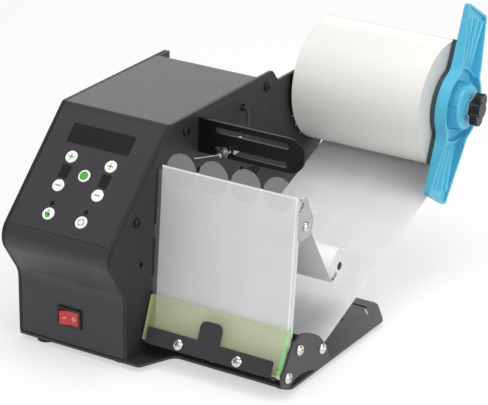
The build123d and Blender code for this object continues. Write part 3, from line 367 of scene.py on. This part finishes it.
# painted light: a lighter copy of the nickel for the small parts that sit in shade
nickel_painted_light = metal("nickel_painted_light", (0.76, 0.75, 0.73), 0.15, depth=0.000003)
peel_steel = metal("peel_steel", (0.80, 0.80, 0.81), 0.34, (1, 12, 12))
turned_steel = metal("turned_steel", (0.72, 0.71, 0.69), 0.28, (40, 1, 1))
bronze = metal("bronze", (0.65, 0.45, 0.2), 0.35)
roller_metal = metal("roller_metal", (0.80, 0.79, 0.77), 0.36, (1, 20, 20))

# The keys' middles on the slope: x, and the distance down from its upper edge
keys = {
    "speed_up": (29.0, 41.1),
    "rows_up": (63.4, 41.3),
    "reset": (46.1, 53.0),
    "speed_down": (29.1, 64.6),
    "rows_down": (63.4, 64.9),
    "manual": (31.8, 87.1),
    "auto": (60.5, 87.3),
}

# Each finish with the nodes that wear it
finishes = (
    (graphite, ("front_cover", "rear_panel")),
    (graphite_painted_shade, ("left_side_plate", "right_side_plate")),
    (base_coat, ("base_plate", "base_brackets", "presser_strip")),
    (black_coat, ("pan_head_screws", "sensor_bar")),
    (overlay_film, ("control_overlay",)),
    (dark_window, ("panel_windows",)),
    (lamp_lens, ("status_lamps",)),
    (board_green, ("circuit_board",)),
    (black_plastic, ("display_modules", "tact_switches", "switch_housing", "power_supply")),
    (black_plastic, ("power_inlet", "rear_guide_roller", "roll_flange")),
    (key_white, ["button_" + key_name for key_name in keys]),
    (rocker_red, ("switch_rocker",)),
    (rubber, ("rubber_feet", "sensor_cable")),
    (nickel, ("motor_bracket", "liner_clip", "peel_bracket", "presser_spring", "sensor_switch")),
    (nickel_painted_light, ("rod_screws", "presser_screws", "hex_nuts", "sensor_wire", "spindle_washer")),
    (turned_steel, ("gear_motor", "takeup_shaft", "cross_rods", "spindle_rod")),
    (bronze, ("motor_pinion", "takeup_gear", "takeup_bushes")),
    (roller_metal, ("takeup_roller",)),
    (peel_steel, ("peel_plate",)),
    (liner_finish, ("wound_liner", "liner_return")),
    (web_paper(), ("label_web",)),
    (roll_paper(), ("supply_roll",)),
    (clear_film(), ("dispensed_labels",)),
    (acrylic_sheet(), ("presser_window",)),
    (core_board, ("roll_core",)),
    (painted_shadow_teal, ("holder_pad",)),
    (holder_blue, ("roll_holder",)),
    (knob_plastic, ("clamp_knob",)),
)
for finish, node_names in finishes:
    for node_name in node_names:
        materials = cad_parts[node_name].data.materials
        materials.clear()
        materials.append(finish)


# A finished mesh becomes a piece that rides on a body
def piece(name, mesh, finish, body, sharp_from=30):
    bmesh.ops.recalc_face_normals(mesh, faces=mesh.faces)
    data = bpy.data.meshes.new(name)
    mesh.to_mesh(data)
    mesh.free()
    data.shade_smooth()
    data.set_sharp_from_angle(angle=radians(sharp_from))
    data.materials.append(finish)
    made = in_scene(name, data)
    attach(made, body)
    return made


def turned_by(degrees, axis="Z"):
    return Matrix.Rotation(radians(degrees), 4, axis)


# Three places for shapes, each with its own z axis outward: slope, side plates, opened flap
def slope_place(x, down, out):
    return (
        Matrix.Translation(at(0, SLOPE_TOP_Y, SLOPE_TOP_Z))
        @ Matrix.Rotation(SLOPE_ANGLE, 4, "X")
        @ Matrix.Translation((x / 1000, -down / 1000, out / 1000))
    )


def side_place(x, y, z, flip=False):
    return Matrix.Translation(at(x, y, z)) @ turned_by(-90 if flip else 90, "Y")


def flap_place(x, rise, out):
    return (
        Matrix.Translation(at(0, FLAP_Y, FLAP_Z))
        @ Matrix.Rotation(pi / 2 - FLAP_LEAN, 4, "X")
        @ Matrix.Translation((x / 1000, rise / 1000, out / 1000))
    )


# Flat signs, as thick as a print
PRINT = 0.00006


def flat_bar(mesh, place, wide, tall, thick=PRINT):
    shape = place @ Matrix.Diagonal((wide, tall, thick, 1))
    bmesh.ops.create_cube(mesh, size=1, matrix=shape)


def flat_disc(mesh, place, radius, thick=PRINT, segments=40):
    bmesh.ops.create_cone(
        mesh, cap_ends=True, segments=segments, radius1=radius, radius2=radius, depth=thick,
        matrix=place,
    )


def flat_ring(mesh, place, inner, outer):
    verts = []
    for radius in (outer, inner):
        circle = bmesh.ops.create_circle(mesh, segments=40, radius=radius, matrix=place)
        verts += circle["verts"]
    edges = list({edge for vert in verts for edge in vert.link_edges})
    faces = bmesh.ops.bridge_loops(mesh, edges=edges)["faces"]
    bmesh.ops.solidify(mesh, geom=faces, thickness=PRINT)


def flat_arc(mesh, place, inner, outer, start, sweep):
    turned = place @ turned_by(start)
    earlier = set(mesh.faces)
    ends = [mesh.verts.new(turned @ Vector((reach, 0, 0))) for reach in (inner, outer)]
    line = mesh.edges.new(ends)
    bmesh.ops.spin(
        mesh, geom=[*ends, line], cent=turned @ Vector(), axis=turned.to_3x3() @ Vector((0, 0, 1)),
        angle=radians(sweep), steps=10, use_merge=False, dvec=(0, 0, 0),
    )
    faces = [face for face in mesh.faces if face not in earlier]
    bmesh.ops.solidify(mesh, geom=faces, thickness=PRINT)


# A shape turned round its own z axis from a profile of radius and height, both in metres
def turned_shape(profile):
    mesh = bmesh.new()
    verts = [mesh.verts.new((reach, 0, height)) for reach, height in profile]
    edges = [mesh.edges.new(pair) for pair in zip(verts, verts[1:])]
    bmesh.ops.spin(
        mesh, geom=[*verts, *edges], cent=(0, 0, 0), axis=(0, 0, 1), angle=2 * pi, steps=32,
        use_merge=True, dvec=(0, 0, 0),
    )
    bmesh.ops.remove_doubles(mesh, verts=mesh.verts, dist=1e-7)
    bmesh.ops.recalc_face_normals(mesh, faces=mesh.faces)
    return mesh


def rounded(mesh, edges, offset, segments):
    bmesh.ops.bevel(
        mesh, geom=edges, offset=offset, segments=segments, profile=0.5, affect="EDGES",
        material=-1,
    )


# Takes a cutting shape out of a body, both closed
def carved(body, tool):
    shapes = []
    for name, mesh in (("carving", body), ("cutter", tool)):
        bmesh.ops.recalc_face_normals(mesh, faces=mesh.faces)
        data = bpy.data.meshes.new(name)
        mesh.to_mesh(data)
        mesh.free()
        shapes.append(in_scene(name, data))
    cut = shapes[0].modifiers.new("cut", "BOOLEAN")
    cut.operation = "DIFFERENCE"
    cut.solver = "EXACT"
    cut.object = shapes[1]
    scene_state = bpy.context.evaluated_depsgraph_get()
    left = bpy.data.meshes.new_from_object(shapes[0].evaluated_get(scene_state))
    for shape in shapes:
        data = shape.data
        bpy.data.objects.remove(shape)
        bpy.data.meshes.remove(data)
    mesh = bmesh.new()
    mesh.from_mesh(left)
    bpy.data.meshes.remove(left)
    return mesh


# Joins shapes, each at its own place, into one mesh
def gathered(parts):
    whole = bmesh.new()
    for mesh, place in parts:
        bmesh.ops.transform(mesh, matrix=place, verts=mesh.verts)
        data = bpy.data.meshes.new("gathering")
        mesh.to_mesh(data)
        mesh.free()
        whole.from_mesh(data)
        bpy.data.meshes.remove(data)
    return whole


# Pan head screw with a cross recess: head standing on z = 0, shank below
SHANK, SHANK_END, SHANK_CHAMFER = 1.95e-3, 1.5e-3, 0.5e-3
DOME_STEPS = 6


def screw(radius, height, reach, turn_by=0.0):
    rim = 0.32 * height
    profile = [(0, height)]
    for step in range(1, DOME_STEPS):
        angle = pi / 2 * step / DOME_STEPS
        profile.append((radius * sin(angle) * 0.97, rim + (height - rim) * cos(angle)))
    profile += [(radius, rim), (radius, 0.08 * height), (radius - 0.1e-3, 0), (SHANK, 0)]
    profile += [(SHANK, SHANK_CHAMFER - reach), (SHANK_END, -reach), (0, -reach)]
    arm, half, cross_floor = radius * 0.56, radius * 0.11, height * 0.36
    corners = ((arm, half), (half, half), (half, arm), (-half, arm), (-half, half), (-arm, half))
    outline = (*corners, *((-x, -y) for x, y in corners))
    cross = bmesh.new()
    lower = cross.faces.new([cross.verts.new((x, y, cross_floor)) for x, y in outline])
    grown = bmesh.ops.extrude_face_region(cross, geom=[lower])["geom"]
    risen = [part for part in grown if isinstance(part, bmesh.types.BMVert)]
    bmesh.ops.translate(cross, vec=(0, 0, height), verts=risen)
    floor_verts = [vert for vert in cross.verts if vert.co.z < height * 0.5]
    bmesh.ops.scale(cross, vec=(0.5, 0.5, 1), verts=floor_verts)
    turning = Matrix.Rotation(turn_by, 3, "Z")
    bmesh.ops.rotate(cross, cent=(0, 0, 0), matrix=turning, verts=cross.verts)
    return carved(turned_shape(profile), cross)


# Black screws in the side plates: face, places, head radius, reach, turn from one to the next
RIGHT_FACE, LEFT_FACE, BAR_FOOT_FACE, EAR_FACE, PEEL_BRACKET_FACE = 96.1, 0.0, 98.1, 215.7, 214.7
LOW_HEAD, HIGH_HEAD = 2.4e-3, 2.8e-3
plate_places = (
    (13.0, 109.4), (76.6, 158.4), (187.6, 158.3), (187.6, 40.0), (60.0, 14.0), (165.0, 14.0)
)
motor_places = (166.6, 97.0), (173.4, 96.0), (66.0, 71.5)
bar_places = (101.0, 143.7), (112.0, 143.7)
black_rows = (
    (RIGHT_FACE, plate_places, 3.9e-3, 5e-3, 0.4),
    (RIGHT_FACE, motor_places, 3.4e-3, 5e-3, 0.7),
    (BAR_FOOT_FACE, bar_places, 3.9e-3, 6e-3, 0.9),
    (LEFT_FACE, plate_places, 3.9e-3, 5e-3, 1.1),
)
black_screws = [
    (screw(radius, LOW_HEAD, reach, step * i), side_place(face, y, z, face == LEFT_FACE))
    for face, places, radius, reach, step in black_rows
    for i, (y, z) in enumerate(places)
]
plate_screws = piece(
    "plate_screws", gathered(black_screws), black_coat, "housing", sharp_from=40
)
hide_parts("pan_head_screws")

# Screws on the ear and the peel bracket, in the lighter nickel that is painted light
nickel_screws = [
    (screw(4.2e-3, HIGH_HEAD, 8e-3, 0.5 + 0.6 * i), side_place(EAR_FACE, y, z))
    for i, (y, z) in enumerate(((38.6, 31.6), (70.5, 19.5), (23.3, 16.1)))
]
peel_screw = screw(3.6e-3, LOW_HEAD, 8e-3, 0.3)
nickel_screws.append((peel_screw, side_place(PEEL_BRACKET_FACE, 46.0, 122.8)))
rod_heads = piece(
    "rod_head_screws", gathered(nickel_screws), nickel_painted_light, "housing",
    sharp_from=40,
)
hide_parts("rod_screws")

# Screws of the flap's strip, in the lighter nickel that is painted light
strip_screws = [
    (screw(4.2e-3, HIGH_HEAD, 4.5e-3, 0.8 * i), flap_place(x, 3.6, 1.5))
    for i, x in enumerate((129.5, 179.0))
]
strip_heads = piece(
    "flap_strip_screws", gathered(strip_screws), nickel_painted_light, "flap", sharp_from=40
)
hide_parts("presser_screws")

# Torsion spring wound on the flap's rod
ROD_Y, ROD_Z, SPRING_X = 23.3, 16.1, 104.8
SPRING_RADIUS, SPRING_LENGTH, SPRING_TURNS, TURN_STEPS = 3.85, 0.0058, 6, 24
spring = bmesh.new()
wire_start = Matrix.Translation(at(SPRING_X, ROD_Y + SPRING_RADIUS, ROD_Z))
wire_tilt = Matrix.Rotation(0.04, 4, "Z")
wire = bmesh.ops.create_circle(
    spring, segments=10, radius=0.0005, matrix=wire_start @ wire_tilt
)["verts"]
bmesh.ops.spin(
    spring, geom=[*wire, *{edge for vert in wire for edge in vert.link_edges}],
    cent=at(SPRING_X, ROD_Y, ROD_Z), axis=(1, 0, 0), angle=2 * pi * SPRING_TURNS,
    dvec=(SPRING_LENGTH / (SPRING_TURNS * TURN_STEPS), 0, 0), steps=SPRING_TURNS * TURN_STEPS,
    use_merge=False,
)
bmesh.ops.holes_fill(spring, edges=spring.edges, sides=12)
coil = piece("flap_torsion_spring", spring, nickel, "housing", sharp_from=60)
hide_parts("presser_spring")

# Hexagon nut with chamfered corners behind the knob
NUT_X, NUT_RADIUS, NUT_THICK, NUT_BORE, NUT_TURN = 228.3, 0.0085, 0.0024, 0.00505, 0.3
nut = bmesh.new()
flat_disc(nut, Matrix.Identity(4), NUT_RADIUS, NUT_THICK, segments=6)
level_edges = [e for e in nut.edges if abs(e.verts[0].co.z - e.verts[1].co.z) < 1e-6]
rounded(nut, level_edges, 0.0004, 2)
bore = bmesh.new()
flat_disc(bore, Matrix.Identity(4), NUT_BORE, 0.01)
nut = carved(nut, bore)
nut_place = side_place(NUT_X, ROLL_Y, ROLL_Z) @ Matrix.Rotation(NUT_TURN, 4, "Z")
bmesh.ops.transform(nut, matrix=nut_place, verts=nut.verts)
spindle_nut = piece("spindle_nut", nut, nickel_painted_light, "housing", sharp_from=25)
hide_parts("spindle_washer")

# Fanned ribs on the floors of the holder's two arms, between its grooves
HOLDER_TURN, ARM_FLOOR, RIB_WIDE, RIB_TALL = radians(22), 0.2154, 0.0013, 0.0018
RIB_NEAR, RIB_FAR = 0.0325, 0.0665
holder_frame = Matrix.Translation(at(0, ROLL_Y, ROLL_Z)) @ Matrix((
    (0, 0, 1, 0),
    (cos(HOLDER_TURN), sin(HOLDER_TURN), 0, 0),
    (-sin(HOLDER_TURN), cos(HOLDER_TURN), 0, 0),
    (0, 0, 0, 1),
))
ribs = []
for way in (1, -1):
    for near, far in ((-7.6, -14.2), (-2.5, -5.3), (2.5, 5.3), (7.6, 14.2)):
        start = Vector((near / 1000, way * RIB_NEAR, 0))
        end = Vector((far / 1000, way * RIB_FAR, 0))
        along, middle = end - start, (start + end) / 2
        rib = bmesh.new()
        flat_bar(rib, Matrix.Identity(4), RIB_WIDE, along.length, RIB_TALL)
        rounded(rib, [e for e in rib.edges if max(v.co.z for v in e.verts) > 0], 0.0004, 2)
        foot = Matrix.Translation((middle.x, middle.y, ARM_FLOOR + 0.0008))
        ribs.append((rib, holder_frame @ foot @ Matrix.Rotation(-atan2(along.x, along.y), 4, "Z")))
# The ribs wear the lighter blue that is painted highlight
piece("holder_ribs", gathered(ribs), rib_painted_highlight_blue, "supply", sharp_from=40)

# Membrane over the whole slope, with its windows and key holes cut out
FILM_LEFT, FILM_WIDE, FILM_TALL, FILM_THICK = 3.6, 0.0872, 0.0968, 0.0004
FILM_MIDDLE, FILM_OUT, CUT_DEEP = 51.9, 0.2, 0.003
KEY_HOLE, LAMP_HOLE = 0.00505, 0.0018
windows = (46.0, 22.7, 54.1, 15.7), (29.1, 53.1, 7.9, 10.8), (64.0, 53.3, 7.9, 10.8)
lamps = (31.1, 78.9), (60.7, 79.2)
membrane = bmesh.new()
flat_bar(membrane, Matrix.Identity(4), FILM_WIDE, FILM_TALL, FILM_THICK)
corners = [e for e in membrane.edges if abs(e.verts[0].co.z - e.verts[1].co.z) > FILM_THICK / 2]
rounded(membrane, corners, 0.0012, 4)
film_place = slope_place(FILM_LEFT + FILM_WIDE * 500, FILM_MIDDLE, FILM_OUT)
bmesh.ops.transform(membrane, matrix=film_place, verts=membrane.verts)
gaps = bmesh.new()
for x, down, wide, tall in windows:
    flat_bar(gaps, slope_place(x, down, FILM_OUT), wide / 1000, tall / 1000, CUT_DEEP)
for x, down in lamps:
    flat_disc(gaps, slope_place(x, down, FILM_OUT), LAMP_HOLE, CUT_DEEP)
for x, down in keys.values():
    flat_disc(gaps, slope_place(x, down, FILM_OUT), KEY_HOLE, CUT_DEEP)
cut_film = carved(membrane, gaps)
film_piece = piece("panel_membrane", cut_film, overlay_film, "housing")
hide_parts("control_overlay")


# Signs on the keys: plus, minus, dot, two turning arrows' arcs, and a hand
def arrow_ring(mesh, place):
    for start in (20, 110, 200, 290):
        flat_arc(mesh, place, 0.0020, 0.0028, start, 52)
        head = turned_by(start + 60) @ Matrix.Translation((0.0024, 0, 0)) @ turned_by(30)
        flat_disc(mesh, place @ head, 0.0010, segments=3)


def hand(mesh, place):
    palm = place @ turned_by(-28)
    flat_disc(mesh, palm @ Matrix.Translation((0.0007, -0.0012, 0)), 0.0019)
    fingers = (
        (-0.0012, 0.0008, 0.0042),
        (-0.0002, 0.0000, 0.0024),
        (0.0008, -0.0001, 0.0022),
        (0.0018, -0.0004, 0.0018),
    )
    for shift, rise, size in fingers:
        flat_bar(mesh, palm @ Matrix.Translation((shift, rise, 0)), 0.0008, size)
    thumb = Matrix.Translation((-0.0019, -0.0012, 0)) @ turned_by(38)
    flat_bar(mesh, palm @ thumb, 0.0009, 0.0022)


KEY_TOP = 0.93
for key_name, (x, down) in keys.items():
    mark = bmesh.new()
    place = slope_place(x, down, KEY_TOP)
    if key_name.endswith("_up"):
        flat_bar(mark, place, 0.0049, 0.0007)
        flat_bar(mark, place, 0.0007, 0.0049)
    elif key_name.endswith("_down"):
        flat_bar(mark, place, 0.0046, 0.0008)
    elif key_name == "reset":
        flat_disc(mark, place, 0.0034)
    elif key_name == "auto":
        arrow_ring(mark, place)
    else:
        hand(mark, place)
    finish = key_dark_green if key_name.endswith(("_up", "_down")) else key_green
    piece("mark_" + key_name, mark, finish, "key_" + key_name)

# On and off marks on the two faces of the rocker
ROCKER_TILT, ROCKER_FACE_ANGLE, ROCKER_SIDE, ROCKER_OUT = 10, 13.5, 0.00375, 0.00553
rocker_place = Matrix.Translation(at(45.7, 3.2, 28.0)) @ turned_by(ROCKER_TILT)
marks = bmesh.new()
for side in (-1, 1):
    middle = Matrix.Translation((side * ROCKER_SIDE, -ROCKER_OUT, 0))
    face = rocker_place @ middle @ turned_by(-side * ROCKER_FACE_ANGLE) @ turned_by(90, "X")
    if side < 0:
        flat_bar(marks, face, 0.0030, 0.0006)
    else:
        flat_ring(marks, face, 0.0011, 0.0016)
piece("rocker_marks", marks, rocker_mark, "rocker")

# Sensor lead on the route of the part's source
route = (
    (90.6, 153.5, 152.3),
    (99.5, 153.5, 152.3),
    (106.0, 145.5, 150.6),
    (114.0, 132.0, 146.0),
    (119.5, 122.0, 142.5),
    (119.5, 112.1, 142.5),
)
lead_curve = bpy.data.curves.new("sensor_lead", "CURVE")
lead_curve.dimensions = "3D"
lead_curve.bevel_depth = 0.0014
lead_curve.bevel_resolution = 4
lead_curve.use_fill_caps = True
line = lead_curve.splines.new("NURBS")
line.points.add(len(route) - 1)
for point, (x, y, z) in zip(line.points, route):
    point.co = (*at(x, y, z), 1)
line.order_u = 3
line.use_endpoint_u = True
line.resolution_u = 10
lead = in_scene("sensor_lead", lead_curve)
lead_curve.materials.append(rubber)
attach(lead, "housing")
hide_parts("sensor_cable")

# Floor that looks white to the camera and in reflections, and keeps the object's shadow
floor_mesh = bmesh.new()
bmesh.ops.create_grid(floor_mesh, x_segments=1, y_segments=1, size=6)
floor_data = bpy.data.meshes.new("studio_floor")
floor_mesh.to_mesh(floor_data)
floor_mesh.free()
floor = in_scene("studio_floor", floor_data)
floor_finish = Finish("floor_white", base_color=(0.86, 0.86, 0.86), roughness=0.9)
glow = {"Color": (1, 1, 1, 1), "Strength": 1.08}
paper_white = floor_finish.node("ShaderNodeEmission", None, glow)
seen = floor_finish.node("ShaderNodeLightPath", output="Is Camera Ray")
for ray in ("Is Glossy Ray", "Is Transmission Ray"):
    seen = seen + floor_finish.node("ShaderNodeLightPath", output=ray)
plain = Value(floor_finish, floor_finish.shader.outputs[0])
blend = floor_finish.node("ShaderNodeMixShader", None, {0: seen * 0.5, 1: plain, 2: paper_white})
surface = floor_finish.tree.nodes["Material Output"].inputs[0]
floor_finish.tree.links.new(blend.socket, surface)
floor_data.materials.append(floor_finish.material)

# Soft studio light
world = bpy.data.worlds.new("studio_world")
world.use_nodes = True
bpy.context.scene.world = world
sky = world.node_tree.nodes["Background"]
sky.inputs["Color"].default_value = (1, 1, 1, 1)
sky.inputs["Strength"].default_value = 0.46


def lamp(name, place, target, size, power):
    light = bpy.data.lights.new(name, "AREA")
    light.shape = "RECTANGLE"
    light.size, light.size_y = size
    light.energy = power
    made = in_scene(name, light)
    made.location = place
    aim = Vector(target) - Vector(place)
    made.rotation_euler = aim.to_track_quat("-Z", "Y").to_euler()


lamp("top_softbox", (0.2, -0.15, 1.5), (0.02, -0.02, 0.1), (1.2, 1.0), 13)
lamp("back_softbox", (-0.95, 1.55, 0.85), (0, 0, 0.15), (1.6, 0.9), 6.8)
lamp("front_softbox", (0.5, -1.6, 0.9), (0.05, 0, 0.1), (1.0, 0.8), 4)
lamp("right_softbox", (1.6, -0.35, 0.55), (0.05, 0, 0.1), (1.0, 0.9), 12)
